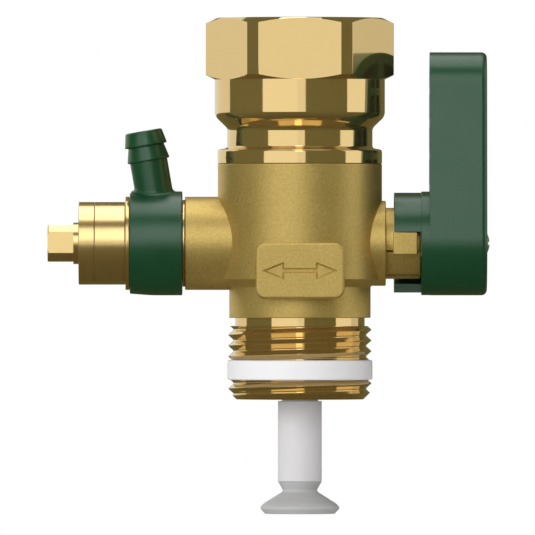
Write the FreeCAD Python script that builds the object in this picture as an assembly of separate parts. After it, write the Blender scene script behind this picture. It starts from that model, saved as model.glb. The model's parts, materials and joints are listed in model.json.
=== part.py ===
import FreeCAD
import Part
import math
import os

# Flow-through ball valve for an expansion vessel, in millimetres.
# The waterway runs along Z. The origin is the centre of the spigot's end face.
# The lever's stem and the drain share one axis along X: lever at +X, drain at -X.
# The arrow plate faces -Y.

# Running and seating clearances
running_gap = 0.05
seat_gap = 0.05
face_gap = 0.05
pressed_gap = 0.02

# How far shapes that are fused reach into each other, and how far a cut runs past a face
overlap = 0.1
past = 1.0

# Ball and its seats
ball_radius = 12.0
ball_bore_radius = 7.5
ball_port_radius = 2.5
ball_slot_depth = 2.25
ball_room = 0.9
seat_bore_gap = 0.1
seat_inset = 1.2
seat_lip = 0.5
seat_toe = 2.15

# Valve body: barrel and spigot
body_wall = 2.25
ball_above_shoulder = 6.64
barrel_above_ball = 14.74
barrel_cone_height = 1.37
lower_barrel_radius = 13.05
lower_barrel_height = 5.70
relief_radius = 11.96
relief_height = 1.56
thread_height = 13.53
barrel_edge = 0.3

# Pipe thread G 3/4, outside on the spigot and inside the connector
thread_crest_radius = 13.22
thread_depth = 1.16
thread_pitch = 1.814
thread_land = 0.30
thread_flank_angle = 27.5
first_crest_height = 1.05
spigot_chamfer = 1.5

# White ring in the spigot's thread
ring_radius = 13.40
ring_height = 3.66
ring_bottom = 3.60
ring_groove_radius = 11.2
ring_corner = 0.35

# Spigot's inside, tube carrier and dip tube
carrier_radius = 9.05
carrier_wall = 1.05
carrier_height = 7.0
carrier_inset = 4.0
carrier_shoulder = 0.65
carrier_spoke_width = 1.4
carrier_hub_radius = 4.6
nipple_radius = 3.36
nipple_bore_radius = 2.6
nipple_length = 6.0
spigot_mouth_chamfer = 0.8
tube_radius = 4.04
tube_length = 14.83
tube_gap = 0.31

# Deflector bell at the foot of the tube
bell_neck_radius = 3.03
bell_neck_drop = 1.76
bell_flare_radius = 6.65
bell_flare_drop = 4.03
bell_rim_radius = 7.26
bell_rim_drop = 4.65
bell_height = 5.96
bell_foot_radius = 6.43
bell_wall = 0.8
bell_socket = 3.0
bell_rim_height = 0.41
bell_lip_height = 0.6
bell_neck_fillet = 0.5
bell_edge = 0.3
bell_hollow_fillet = 1.0

# End connector
connector_bore_radius = 8.5
tail_step_chamfer = 0.5
flange_radius = 15.17
flange_height = 2.53
flange_edge = 0.25
flange_bevel_height = 0.5
waist_radius = 13.40
waist_height = 2.95
waist_foot_fillet = 0.5
waist_top_fillet = 1.2
collar_radius = 15.69
collar_cone_height = 2.30
collar_height = 7.25
collar_edge = 0.9
hexagon_width = 31.2
hexagon_height = 11.34
hexagon_corner_radius = 17.35
hexagon_top_radius = 15.23
hexagon_top_chamfer = 1.0
hexagon_foot_chamfer = 0.8
hexagon_foot_step = 0.05
socket_depth = 16.9
socket_lead = 1.2
socket_plain_turns = 2
tail_ring_cord = 1.2
tail_ring_drop = 2.2

# Stem side of the body
stem_boss_radius = 7.85
stem_boss_proud = 0.70
neck_radius = 6.56
neck_length = 6.45
neck_chamfer = 0.35
stem_radius = 3.45
stem_head_radius = 4.75
stem_head_height = 1.2
stem_head_gap = 0.1
stem_lift = 0.45
thrust_washer_height = 0.45
tongue_thickness = 3.1
stem_ring_cord = 0.95
stem_ring_first = 1.5
stem_ring_spacing = 2.4
stem_square = 5.0
stem_square_length = 5.7
stem_hole_depth = 5.6
stem_end_chamfer = 0.5

# Stop lug on the neck
lug_half_height = 2.05
lug_length = 4.4
lug_reach = 8.9
lug_setback = 0.7
lug_edge = 0.2

# Lever
lever_hub_radius = 9.6
lever_hub_height = 1.54
lever_depth = 10.57
lever_reach = 35.28
lever_tip_radius = 6.2
lever_edge = 1.0
lever_wall = 1.9
lever_face_wall = 2.0
lever_rib = 1.3
lever_pocket_rows = 4
lever_pocket_corner = 0.7
skirt_radius = 9.35
skirt_wall = 1.55
skirt_length = 5.03
stop_gap = 0.1
lever_socket_gap = 0.2

# Lever screw
screw_radius = 1.2
screw_head_radius = 2.2
screw_head_height = 0.9
screw_dome = 0.7
screw_proud = 0.5
screw_slot_width = 0.55
screw_slot_depth = 0.6
screw_slot_reach = 1.36
screw_thread_length = 4.7
screw_hole_gap = 0.4
screw_head_gap = 0.15

# Drain side of the body
drain_boss_radius = 8.6
drain_boss_proud = 6.05
drain_floor = 1.9
drain_port_radius = 2.6

# Swivelling outlet collar with its hose barb
spacer_radius = 8.03
spacer_thickness = 0.43
outlet_radius = 9.6
outlet_length = 9.70
outlet_end_radius = 9.3
outlet_crown_length = 4.0
outlet_crown_fillet = 30.0
outlet_edge = 0.15
outlet_channel_radius = 7.9
outlet_channel_length = 4.2
outlet_ring_cord = 1.0
outlet_ring_inset = 1.3
washer_radius = 8.6
washer_thickness = 0.74
spout_tilt = 9.8
spout_shift = 1.25
spout_radius = 3.47
spout_bore_radius = 2.3
spout_length = 21.03
spout_tip_radius = 3.37
spout_root_radius = 3.33
barb_radius = 3.90
barb_land = 0.22
barb_back = 0.12
barb_pitch = 2.80
barb_first = 2.70
spout_fillet = 0.6
spout_tip_edge = 0.35

# Bonnet
bonnet_barrel_radius = 6.6
bonnet_head_radius = 7.63
bonnet_head_length = 5.74
bonnet_edge = 0.15
bonnet_nose_chamfer = 0.4
bonnet_nose_gap = 0.1
bonnet_chamber_radius = 4.3
bonnet_partition = 4.95
bonnet_slot_reach = 5.3
bonnet_slot_width = 2.4
bonnet_port_radius = 1.9
gland_socket_radius = 5.65
gland_socket_depth = 3.0

# Gland nut and spindle
gland_length = 2.86
journal_radius = 3.83
journal_proud = 0.98
flange_thrust_radius = 5.0
flange_thrust_length = 1.15
key_square = 6.6
key_length = 4.75
key_turn = 3.0
key_edge = 0.25
spindle_radius = 2.95
spindle_ring_cord = 0.9
spindle_thread_radius = 2.4
spindle_tail_gap = 0.2
spindle_tip_chamfer = 0.3
spindle_engagement = 3.3

# Plug that closes the drain
plug_radius = 4.2
plug_length = 7.3
plug_ear_width = 2.2
plug_ear_length = 5.7
plug_ear_reach = 5.1
plug_bore_depth = 5.6
plug_stud_radius = 1.2
plug_stud_length = 0.9
seal_radius = 3.9
seal_thickness = 1.05

# Arrow plate cast on the front
plate_width = 16.4
plate_height = 10.32
plate_drop = 5.05
plate_proud = 0.35
plate_corner = 1.8
plate_edge = 0.45
arrow_depth = 0.35
arrow_length = 14.08
arrow_head_length = 4.13
arrow_head_height = 3.34
arrow_shaft_height = 1.06

# Heights along the waterway
shoulder_height = thread_height + relief_height
cone_foot = shoulder_height + lower_barrel_height
cone_top = cone_foot + barrel_cone_height
axis_height = cone_top + ball_above_shoulder
body_top = axis_height + barrel_above_ball

# Seats, worked out from the ball
ball_face_radius = ball_radius + seat_gap
seat_bore_radius = ball_bore_radius + seat_bore_gap
seat_outer_radius = ball_radius - seat_inset
seat_lip_radius = seat_outer_radius - seat_lip
seat_lip_height = math.sqrt(ball_face_radius ** 2 - seat_lip_radius ** 2)
seat_toe_height = math.sqrt(ball_face_radius ** 2 - seat_bore_radius ** 2)
seat_back_height = seat_toe_height + seat_toe

# Body radii, worked out from the ball
cavity_radius = ball_radius + ball_room
body_radius = cavity_radius + body_wall
tail_radius = cavity_radius - running_gap
seat_pocket_radius = seat_outer_radius + seat_gap
thread_root_radius = thread_crest_radius - thread_depth
tail_ring_place = body_top - tail_ring_drop

# Places along the stem, measured from the waterway's axis
stem_boss_end = body_radius + stem_boss_proud
neck_end = stem_boss_end + neck_length
stem_head_start = ball_radius + stem_lift
stem_head_end = stem_head_start + stem_head_height
stem_seat = stem_head_end + thrust_washer_height + face_gap
stem_square_end = neck_end + stem_square_length
hub_start = neck_end + stop_gap
handle_start = hub_start + lever_hub_height
lever_face = handle_start + lever_depth
lug_end = neck_end - lug_setback

# Places along the drain, measured from the waterway's axis towards -X
drain_boss_end = body_radius + drain_boss_proud
drain_seat = cavity_radius + drain_floor
spacer_start = drain_boss_end + pressed_gap
outlet_start = spacer_start + spacer_thickness + face_gap
outlet_end = outlet_start + outlet_length
washer_start = outlet_end + face_gap
bonnet_head_start = washer_start + washer_thickness + pressed_gap
bonnet_head_end = bonnet_head_start + bonnet_head_length
gland_start = bonnet_head_end + pressed_gap
gland_end = gland_start + gland_length
outlet_middle = (outlet_start + outlet_end) / 2
bonnet_bore_radius = spindle_radius + running_gap
bonnet_shoulder = bonnet_head_end - gland_socket_depth
chamber_end = bonnet_shoulder - bonnet_partition
bonnet_nose = drain_seat + bonnet_nose_gap
barrel_bore_radius = bonnet_barrel_radius + running_gap
journal_end = gland_end + journal_proud
key_end = journal_end + key_length
thrust_start = bonnet_shoulder + face_gap
thrust_end = thrust_start + flange_thrust_length
gland_neck_end = thrust_end + face_gap
seal_start = drain_seat + face_gap
plug_start = seal_start + seal_thickness
plug_end = plug_start + plug_length
spindle_tip = plug_end - spindle_engagement

z_axis = FreeCAD.Vector(0, 0, 1)
centre = FreeCAD.Vector(0, 0, 0)


def point(x, y, z):
    return FreeCAD.Vector(x, y, z)


def outline(corners):
    """A closed flat face in the XZ plane from (x, z) corners; a third value rounds a corner."""
    count = len(corners)
    starts = []
    ends = []
    arcs = []
    for index, corner in enumerate(corners):
        here = point(corner[0], 0, corner[1])
        before = corners[index - 1]
        after = corners[(index + 1) % count]
        if len(corner) == 2:
            starts.append(here)
            ends.append(here)
            arcs.append(None)
            continue
        back = (point(before[0], 0, before[1]) - here).normalize()
        ahead = (point(after[0], 0, after[1]) - here).normalize()
        half_angle = back.getAngle(ahead) / 2
        reach = corner[2] / math.tan(half_angle)
        bisector = (back + ahead).normalize()
        starts.append(here + back * reach)
        ends.append(here + ahead * reach)
        arcs.append(here + bisector * (corner[2] / math.sin(half_angle) - corner[2]))
    edges = []
    for index in range(count):
        if arcs[index] is not None:
            edges.append(Part.Arc(starts[index], arcs[index], ends[index]).toShape())
        following = starts[(index + 1) % count]
        if ends[index].distanceToPoint(following) > 1e-6:
            edges.append(Part.LineSegment(ends[index], following).toShape())
    return Part.Face(Part.Wire(edges))


def turned(corners):
    """A turned solid about Z from (radius, height) corners."""
    return outline(corners).revolve(centre, z_axis, 360)


def drum(radius, bottom, top):
    """A plain cylinder about Z between two heights."""
    return Part.makeCylinder(radius, top - bottom, point(0, 0, bottom), z_axis)


def tube(outer, inner, bottom, top):
    return drum(outer, bottom, top).cut(drum(inner, bottom, top))


def block(low, high):
    """A box between two corners."""
    size = [high[axis] - low[axis] for axis in range(3)]
    return Part.makeBox(size[0], size[1], size[2], point(low[0], low[1], low[2]))


def seal(inner, outer, height):
    """A rubber ring about Z that fills the room between two radii."""
    cord = (outer - inner) / 2 - pressed_gap
    return Part.makeTorus((inner + outer) / 2, cord, point(0, 0, height), z_axis)


def to_stem(shape):
    """Moves a shape turned about Z onto the stem's axis, its +Z towards +X."""
    placed = shape.copy()
    placed.rotate(centre, point(0, 1, 0), 90)
    placed.translate(point(0, 0, axis_height))
    return placed


def to_drain(shape):
    """Moves a shape turned about Z onto the drain's axis, its +Z towards -X."""
    placed = shape.copy()
    placed.rotate(centre, point(0, 1, 0), -90)
    placed.translate(point(0, 0, axis_height))
    return placed


def fused(shapes):
    whole = shapes[0]
    for shape in shapes[1:]:
        whole = whole.fuse(shape)
    return whole.removeSplitter()


def thread_crests():
    """Heights of the spigot thread's crests."""
    crests = []
    height = first_crest_height
    while height < thread_height - thread_land:
        crests.append(height)
        height += thread_pitch
    return crests


def ridge(root, crest, height):
    """One V of the thread, with a narrow land on its crest."""
    flank = abs(crest - root) * math.tan(math.radians(thread_flank_angle))
    half = thread_land / 2
    inside = root - overlap if crest > root else root + overlap
    return turned([
        (inside, height - half - flank),
        (root, height - half - flank),
        (crest, height - half),
        (crest, height + half),
        (root, height + half + flank),
        (inside, height + half + flank),
    ])


def arrow_recess(face_y):
    """The double arrow, sunk into the plate's face."""
    half = arrow_length / 2
    neck = half - arrow_head_length
    shaft = arrow_shaft_height / 2
    head = arrow_head_height / 2
    quarter = [(neck, shaft), (neck, head), (half, 0)]
    right = quarter + [(x, -z) for x, z in reversed(quarter[:2])]
    left = [(-x, -z) for x, z in right]
    shape = outline(right + left).extrude(point(0, arrow_depth + past, 0))
    shape.translate(point(0, face_y - past, axis_height - plate_drop))
    return shape


def arrow_plate():
    """The cast plate, with rounded corners and a softened front edge."""
    half = plate_width / 2
    rise = plate_height / 2
    face_y = -(body_radius + plate_proud)
    frame = outline([
        (-half, -rise, plate_corner),
        (half, -rise, plate_corner),
        (half, rise, plate_corner),
        (-half, rise, plate_corner),
    ])
    slab = frame.extrude(point(0, body_radius - lower_barrel_radius / 2, 0))
    slab.translate(point(0, face_y, axis_height - plate_drop))
    front = [edge for edge in slab.Edges if abs(edge.BoundBox.YMax - face_y) < 1e-6]
    slab = slab.makeFillet(plate_edge, front)
    return slab.cut(arrow_recess(face_y))


def spigot_thread():
    """The spigot's thread with its lead-in chamfer and the groove of the white ring."""
    shapes = [drum(thread_root_radius, 0, thread_height)]
    for height in thread_crests():
        shapes.append(ridge(thread_root_radius, thread_crest_radius, height))
    thread = fused(shapes)
    envelope = turned([
        (0, 0),
        (thread_crest_radius - spigot_chamfer, 0),
        (thread_crest_radius, spigot_chamfer),
        (thread_crest_radius, thread_height),
        (0, thread_height),
    ])
    thread = thread.common(envelope)
    low = ring_bottom - seat_gap
    high = ring_bottom + ring_height + seat_gap
    return thread.cut(tube(thread_crest_radius + past, ring_groove_radius, low, high))


def body_bore():
    """The room inside the body, from the spigot's mouth to the open top."""
    carrier_top = carrier_inset + carrier_height
    pocket_floor = axis_height - seat_back_height
    cavity_floor = axis_height - seat_lip_height
    bore = carrier_radius + seat_gap
    return turned([
        (0, -past),
        (bore + spigot_mouth_chamfer + past, -past),
        (bore, spigot_mouth_chamfer),
        (bore, carrier_top),
        (bore - carrier_shoulder, carrier_top),
        (bore - carrier_shoulder, pocket_floor),
        (seat_pocket_radius, pocket_floor),
        (seat_pocket_radius, cavity_floor),
        (cavity_radius, cavity_floor),
        (cavity_radius, body_top - tail_step_chamfer),
        (cavity_radius + tail_step_chamfer + past, body_top + past),
        (0, body_top + past),
    ])


def stem_bore():
    """The stem's passage through the boss and neck, with the counterbore of its head."""
    shaft = drum(stem_radius + running_gap, 0, neck_end + past)
    head = drum(stem_head_radius + stem_head_gap, 0, stem_seat)
    return to_stem(shaft.fuse(head))


def drain_bore():
    """The drain port and the socket that takes the bonnet's barrel."""
    port = drum(drain_port_radius, 0, drain_seat + past)
    socket = drum(barrel_bore_radius, drain_seat, drain_boss_end + past)
    return to_drain(port.fuse(socket))


def stop_lug():
    lug = block(
        (lug_end - lug_length, -lug_reach, axis_height - lug_half_height),
        (lug_end, -stem_radius - past, axis_height + lug_half_height),
    )
    front = [edge for edge in lug.Edges if edge.BoundBox.YMax < -lug_reach + 1e-6]
    return lug.makeFillet(lug_edge, front)


def valve_body():
    barrel = turned([
        (0, shoulder_height),
        (lower_barrel_radius, shoulder_height),
        (lower_barrel_radius, cone_foot),
        (body_radius, cone_top),
        (body_radius, body_top, barrel_edge),
        (0, body_top),
    ])
    relief = drum(relief_radius, thread_height, shoulder_height)
    stem_boss = to_stem(drum(stem_boss_radius, 0, stem_boss_end))
    neck = to_stem(turned([
        (0, 0),
        (neck_radius, 0),
        (neck_radius, neck_end - neck_chamfer),
        (neck_radius - neck_chamfer, neck_end),
        (0, neck_end),
    ]))
    drain_boss = to_drain(drum(drain_boss_radius, 0, drain_boss_end))
    cast = fused([barrel, stem_boss, neck, drain_boss, stop_lug(), arrow_plate()])
    solid = fused([cast, relief, spigot_thread()])
    return solid.cut(body_bore()).cut(stem_bore()).cut(drain_bore())


def thread_seal_ring():
    top = ring_bottom + ring_height
    return turned([
        (ring_groove_radius + seat_gap, ring_bottom),
        (ring_radius, ring_bottom, ring_corner),
        (ring_radius, top, ring_corner),
        (ring_groove_radius + seat_gap, top),
    ])


def end_connector():
    """The upper piece: sealed tail, flange, waist, collar and hexagon with its inside thread."""
    tail_end = axis_height + seat_lip_height
    pocket_roof = axis_height + seat_back_height
    flange_top = body_top + flange_height
    waist_foot = flange_top + flange_bevel_height
    waist_top = waist_foot + waist_height
    collar_foot = waist_top + collar_cone_height
    hexagon_foot = collar_foot + collar_height
    top = hexagon_foot + hexagon_height
    shank = turned([
        (0, tail_end),
        (tail_radius, tail_end),
        (tail_radius, body_top),
        (flange_radius, body_top, flange_edge),
        (flange_radius, flange_top, flange_edge),
        (waist_radius, waist_foot, waist_foot_fillet),
        (waist_radius, waist_top, waist_top_fillet),
        (collar_radius, collar_foot, collar_edge),
        (collar_radius, hexagon_foot + overlap),
        (0, hexagon_foot + overlap),
    ])
    side = hexagon_width / math.sqrt(3)
    corners = []
    for index in range(6):
        angle = math.radians(60 * index)
        corners.append(point(side * math.cos(angle), side * math.sin(angle), hexagon_foot))
    prism = Part.Face(Part.makePolygon(corners + corners[:1])).extrude(point(0, 0, hexagon_height))
    envelope = turned([
        (0, hexagon_foot),
        (collar_radius + hexagon_foot_step, hexagon_foot),
        (hexagon_corner_radius, hexagon_foot + hexagon_foot_chamfer),
        (hexagon_corner_radius, top - hexagon_top_chamfer),
        (hexagon_top_radius, top),
        (0, top),
    ])
    solid = fused([shank, prism.common(envelope)])
    socket_floor = top - socket_depth
    bore = turned([
        (0, tail_end - past),
        (seat_pocket_radius, tail_end - past),
        (seat_pocket_radius, pocket_roof),
        (connector_bore_radius, pocket_roof),
        (connector_bore_radius, socket_floor),
        (thread_root_radius, socket_floor),
        (thread_root_radius, top - socket_lead),
        (thread_root_radius + socket_lead + past, top + past),
        (0, top + past),
    ])
    solid = solid.cut(bore)
    height = socket_floor + socket_plain_turns * thread_pitch
    while height < top - socket_lead:
        solid = solid.cut(ridge(thread_root_radius, thread_crest_radius, height))
        height += thread_pitch
    half = tail_ring_cord / 2 + running_gap
    root = cavity_radius - tail_ring_cord
    return solid.cut(tube(tail_radius + past, root, tail_ring_place - half, tail_ring_place + half))


def connector_o_ring():
    return seal(cavity_radius - tail_ring_cord, cavity_radius, tail_ring_place)


def seat(direction):
    """A ring whose face fits the ball, below it with -1 or above it with +1."""
    arc_middle_angle = (math.asin(seat_bore_radius / ball_face_radius)
                        + math.asin(seat_lip_radius / ball_face_radius)) / 2
    middle_radius = ball_face_radius * math.sin(arc_middle_angle)
    middle_height = ball_face_radius * math.cos(arc_middle_angle)
    corners = [
        (seat_bore_radius, seat_toe_height),
        (seat_bore_radius, seat_back_height),
        (seat_outer_radius, seat_back_height),
        (seat_outer_radius, seat_lip_height),
        (seat_lip_radius, seat_lip_height),
    ]
    places = [point(radius, 0, axis_height + direction * height) for radius, height in corners]
    middle = point(middle_radius, 0, axis_height + direction * middle_height)
    edges = [Part.LineSegment(places[i], places[i + 1]).toShape() for i in range(4)]
    edges.append(Part.Arc(places[4], middle, places[0]).toShape())
    return Part.Face(Part.Wire(edges)).revolve(centre, z_axis, 360)


def ball():
    """The ball, with its bore, the stem's slot and the two drain ports."""
    sphere = Part.makeSphere(ball_radius, centre, z_axis)
    outside = ball_radius + past
    bore = drum(ball_bore_radius, -outside, outside)
    slot_half = tongue_thickness / 2 + running_gap
    slot = block((ball_radius - ball_slot_depth, -outside, -slot_half), (outside, outside, slot_half))
    pole_port = Part.makeCylinder(ball_port_radius, outside, centre, point(-1, 0, 0))
    side_port = Part.makeCylinder(ball_port_radius, outside, centre, point(0, 1, 0))
    solid = sphere.cut(bore).cut(slot).cut(pole_port).cut(side_port)
    solid.translate(point(0, 0, axis_height))
    return solid


def lower_seat():
    return seat(-1)


def upper_seat():
    return seat(1)


def stem_ring_places():
    first = stem_seat + stem_ring_first
    return [first, first + stem_ring_spacing]


def stem():
    """The stem: tongue in the ball's slot, head, sealed shaft and square end."""
    tongue_start = ball_radius - ball_slot_depth + face_gap
    half = tongue_thickness / 2
    tongue_end = stem_head_start + overlap
    tongue = block((-half, -stem_head_radius, tongue_start), (half, stem_head_radius, tongue_end))
    tongue = tongue.common(drum(stem_head_radius, tongue_start, tongue_end))
    head = drum(stem_head_radius, stem_head_start, stem_head_end)
    shaft = drum(stem_radius, stem_head_start, neck_end)
    side = stem_square / 2
    square = block((-side, -side, stem_head_end), (side, side, stem_square_end))
    square = square.common(turned([
        (0, stem_head_end),
        (stem_radius, stem_head_end),
        (stem_radius, stem_square_end - stem_end_chamfer),
        (stem_radius - stem_end_chamfer, stem_square_end),
        (0, stem_square_end),
    ]))
    solid = fused([tongue, head, shaft, square])
    root = stem_radius + running_gap - stem_ring_cord
    half_groove = stem_ring_cord / 2 + running_gap
    for place in stem_ring_places():
        solid = solid.cut(tube(stem_radius + past, root, place - half_groove, place + half_groove))
    hole = drum(screw_radius + running_gap, stem_square_end - stem_hole_depth, stem_square_end + past)
    return to_stem(solid.cut(hole))


def stem_o_rings():
    wall = stem_radius + running_gap
    rings = [to_stem(seal(wall - stem_ring_cord, wall, place)) for place in stem_ring_places()]
    return Part.makeCompound(rings)


def stem_thrust_washer():
    start = stem_head_end + face_gap / 2
    return to_stem(tube(stem_head_radius, stem_radius + running_gap, start, start + thrust_washer_height))


def tongue(hub, tip, depth):
    """A flat tongue: a round hub and a round tip, joined by their common tangents."""
    rise = lever_reach - lever_tip_radius
    lean = math.asin((hub - tip) / rise)
    across = math.cos(lean)
    up = math.sin(lean)
    left_foot = point(-hub * across, 0, hub * up)
    right_foot = point(hub * across, 0, hub * up)
    left_tip = point(-tip * across, 0, rise + tip * up)
    right_tip = point(tip * across, 0, rise + tip * up)
    edges = [
        Part.Arc(right_foot, point(0, 0, -hub), left_foot).toShape(),
        Part.LineSegment(left_foot, left_tip).toShape(),
        Part.Arc(left_tip, point(0, 0, rise + tip), right_tip).toShape(),
        Part.LineSegment(right_tip, right_foot).toShape(),
    ]
    return Part.Face(Part.Wire(edges)).extrude(point(0, depth, 0))


def to_handle(shape, start):
    """Moves a shape drawn in XZ onto the handle, its +Y towards +X from a place on the stem."""
    placed = shape.copy()
    placed.rotate(centre, z_axis, -90)
    placed.translate(point(start, 0, axis_height))
    return placed


def lever_pockets():
    """The coring of the handle's back: two columns of pockets parted by ribs."""
    depth = lever_depth - lever_face_wall + past
    hollow = tongue(lever_hub_radius - lever_wall, lever_tip_radius - lever_wall, depth)
    half = lever_rib / 2
    floor = lever_hub_radius + lever_rib
    step = (lever_reach - lever_wall + lever_rib - floor) / lever_pocket_rows
    pockets = []
    for row in range(lever_pocket_rows):
        low = floor + row * step
        high = low + step - lever_rib
        last = row == lever_pocket_rows - 1
        for near, far in ((-lever_hub_radius, -half), (half, lever_hub_radius)):
            pocket = hollow.common(block((near, 0, low), (far, depth, high)))
            corners = []
            for edge in pocket.Edges:
                box = edge.BoundBox
                upright = box.YLength > depth / 2
                by_rib = abs(abs(box.Center.x) - half) < 1e-6
                by_row = abs(box.Center.z - low) < 1e-6 or abs(box.Center.z - high) < 1e-6
                if upright and (by_rib or by_row and not (last and box.Center.z > low + half)):
                    corners.append(edge)
            pocket = pocket.makeFillet(lever_pocket_corner, corners)
            pockets.append(to_handle(pocket, handle_start - past))
    return pockets


def handle():
    """The handle: it tapers from the hub to a round tip, with a rounded rim round its face."""
    whole = to_handle(tongue(lever_hub_radius, lever_tip_radius, lever_depth), handle_start)
    rim = [edge for edge in whole.Edges if edge.BoundBox.XMin > lever_face - 1e-6]
    return whole.makeFillet(lever_edge, rim)


def lever_skirt():
    """The stop skirt round the neck, open over the lug's quarter turn."""
    skirt_start = hub_start - skirt_length
    ring = to_stem(tube(skirt_radius, skirt_radius - skirt_wall, skirt_start, hub_start + overlap))
    edge = lug_half_height + stop_gap
    reach = skirt_radius + past
    corner = (skirt_start - past, -reach, axis_height - reach)
    front = block(corner, (hub_start, 0, axis_height + edge))
    below = block(corner, (hub_start, edge, axis_height))
    return ring.cut(front.fuse(below))


def screw_seat():
    return lever_face - (screw_head_height + screw_dome - screw_proud)


def lever():
    """The moulded lever: handle, hub disc, stop skirt, square socket and screw seat."""
    disc = to_stem(drum(lever_hub_radius, hub_start, handle_start + overlap))
    solid = fused([handle(), disc, lever_skirt()])
    for pocket in lever_pockets():
        solid = solid.cut(pocket)
    side = stem_square / 2 + running_gap
    socket = block((hub_start - past, -side, axis_height - side),
                   (stem_square_end + lever_socket_gap, side, axis_height + side))
    screw_hole = drum(screw_radius + screw_hole_gap, hub_start, lever_face + past)
    head_room = drum(screw_head_radius + screw_head_gap, screw_seat(), lever_face + past)
    return solid.cut(socket).cut(to_stem(screw_hole.fuse(head_room)))


def lever_screw():
    """The domed screw with its crossed slots."""
    start = screw_seat() + pressed_gap
    rim = start + screw_head_height
    crown = rim + screw_dome
    dome_radius = (screw_head_radius ** 2 + screw_dome ** 2) / (2 * screw_dome)
    half_angle = math.asin(screw_head_radius / dome_radius) / 2
    sink = dome_radius * (1 - math.cos(half_angle))
    arc_middle = point(dome_radius * math.sin(half_angle), 0, crown - sink)
    foot = stem_square_end - screw_thread_length
    places = [point(0, 0, foot), point(screw_radius, 0, foot), point(screw_radius, 0, start),
              point(screw_head_radius, 0, start), point(screw_head_radius, 0, rim)]
    edges = [Part.LineSegment(places[i], places[i + 1]).toShape() for i in range(4)]
    edges.append(Part.Arc(places[4], arc_middle, point(0, 0, crown)).toShape())
    edges.append(Part.LineSegment(point(0, 0, crown), places[0]).toShape())
    solid = Part.Face(Part.Wire(edges)).revolve(centre, z_axis, 360)
    half = screw_slot_width / 2
    for wide, high in ((screw_slot_reach, half), (half, screw_slot_reach)):
        solid = solid.cut(block((-wide, -high, crown - screw_slot_depth), (wide, high, crown + past)))
    return to_stem(solid)


def tube_carrier():
    """The insert in the spigot: a ring, three spokes and the nipple that takes the tube."""
    low = carrier_inset
    high = carrier_inset + carrier_height - face_gap
    rim = tube(carrier_radius, carrier_radius - carrier_wall, low, high)
    hub = drum(carrier_hub_radius, low, high)
    nipple = drum(nipple_radius, -nipple_length, low + overlap)
    shapes = [rim, hub, nipple]
    for index in range(3):
        spoke = block((carrier_hub_radius - past, -carrier_spoke_width / 2, low),
                      (carrier_radius - carrier_wall / 2, carrier_spoke_width / 2, high))
        spoke.rotate(centre, z_axis, 30 + 120 * index)
        shapes.append(spoke)
    solid = fused(shapes)
    return solid.cut(drum(nipple_bore_radius, -nipple_length - past, high + past))


def dip_tube():
    return tube(tube_radius, nipple_radius + seat_gap, -tube_gap - tube_length, -tube_gap)


def flow_deflector():
    """The bell at the tube's foot, hollow like a trumpet, with a socket plug up the tube."""
    top = -tube_gap - tube_length - pressed_gap
    neck = top - bell_neck_drop
    flare = top - bell_flare_drop
    rim = top - bell_rim_drop
    foot = top - bell_height
    bore = bell_neck_radius - bell_wall
    lip = bell_foot_radius - bell_wall
    return turned([
        (bore, top + bell_socket),
        (nipple_radius, top + bell_socket),
        (nipple_radius, top),
        (tube_radius, top),
        (bell_neck_radius, neck, bell_neck_fillet),
        (bell_flare_radius, flare, bell_edge),
        (bell_rim_radius, rim, bell_edge / 2),
        (bell_rim_radius, rim - bell_rim_height, bell_edge / 2),
        (bell_foot_radius, foot),
        (lip, foot),
        (lip, foot + bell_lip_height, bell_edge),
        (bore, neck - bell_wall, bell_hollow_fillet),
    ])


def bonnet_spacer_washer():
    return to_drain(tube(spacer_radius, barrel_bore_radius, spacer_start, spacer_start + spacer_thickness))


def outlet_washer():
    return to_drain(tube(washer_radius, barrel_bore_radius, washer_start, washer_start + washer_thickness))


def spout_place(shape):
    """Leans a shape turned about Z by the spout's tilt, its foot on the drain's axis."""
    placed = shape.copy()
    placed.rotate(centre, point(0, 1, 0), -spout_tilt)
    placed.translate(point(-outlet_middle + spout_shift, 0, axis_height))
    return placed


def spout():
    """The hose barb: a plain tube with two sharp barbs and a rounded tip."""
    first = spout_length - barb_first
    second = first - barb_pitch
    return turned([
        (0, bonnet_barrel_radius),
        (spout_radius, bonnet_barrel_radius),
        (spout_radius, second - barb_back),
        (barb_radius, second),
        (barb_radius, second + barb_land),
        (spout_root_radius, first - barb_back),
        (barb_radius, first),
        (barb_radius, first + barb_land),
        (spout_tip_radius, spout_length, spout_tip_edge),
        (0, spout_length),
    ])


def outlet_ring_places():
    return [outlet_start + outlet_ring_inset, outlet_end - outlet_ring_inset]


def drain_outlet():
    """The swivelling collar: crowned ring, water channel, two seal grooves and the hose barb."""
    collar = to_drain(turned([
        (0, outlet_start),
        (outlet_radius, outlet_start, outlet_edge),
        (outlet_radius, outlet_end - outlet_crown_length, outlet_crown_fillet),
        (outlet_end_radius, outlet_end, outlet_edge),
        (0, outlet_end),
    ]))
    solid = fused([collar, spout_place(spout())])
    crossing = [edge for edge in solid.Edges if isinstance(edge.Curve, Part.BSplineCurve)]
    joint = [edge for edge in crossing if edge.BoundBox.ZMin > axis_height + spout_radius]
    solid = solid.makeFillet(spout_fillet, joint)
    bore = drum(barrel_bore_radius, outlet_start - past, outlet_end + past)
    half_channel = outlet_channel_length / 2
    channel = drum(outlet_channel_radius, outlet_middle - half_channel, outlet_middle + half_channel)
    solid = solid.cut(to_drain(bore.fuse(channel)))
    half_groove = outlet_ring_cord / 2 + running_gap
    for place in outlet_ring_places():
        groove = drum(bonnet_barrel_radius + outlet_ring_cord, place - half_groove, place + half_groove)
        solid = solid.cut(to_drain(groove))
    return solid.cut(spout_place(drum(spout_bore_radius, bonnet_barrel_radius - past, spout_length + past)))


def outlet_o_rings():
    outer = bonnet_barrel_radius + outlet_ring_cord
    rings = [to_drain(seal(bonnet_barrel_radius, outer, place)) for place in outlet_ring_places()]
    return Part.makeCompound(rings)


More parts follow.
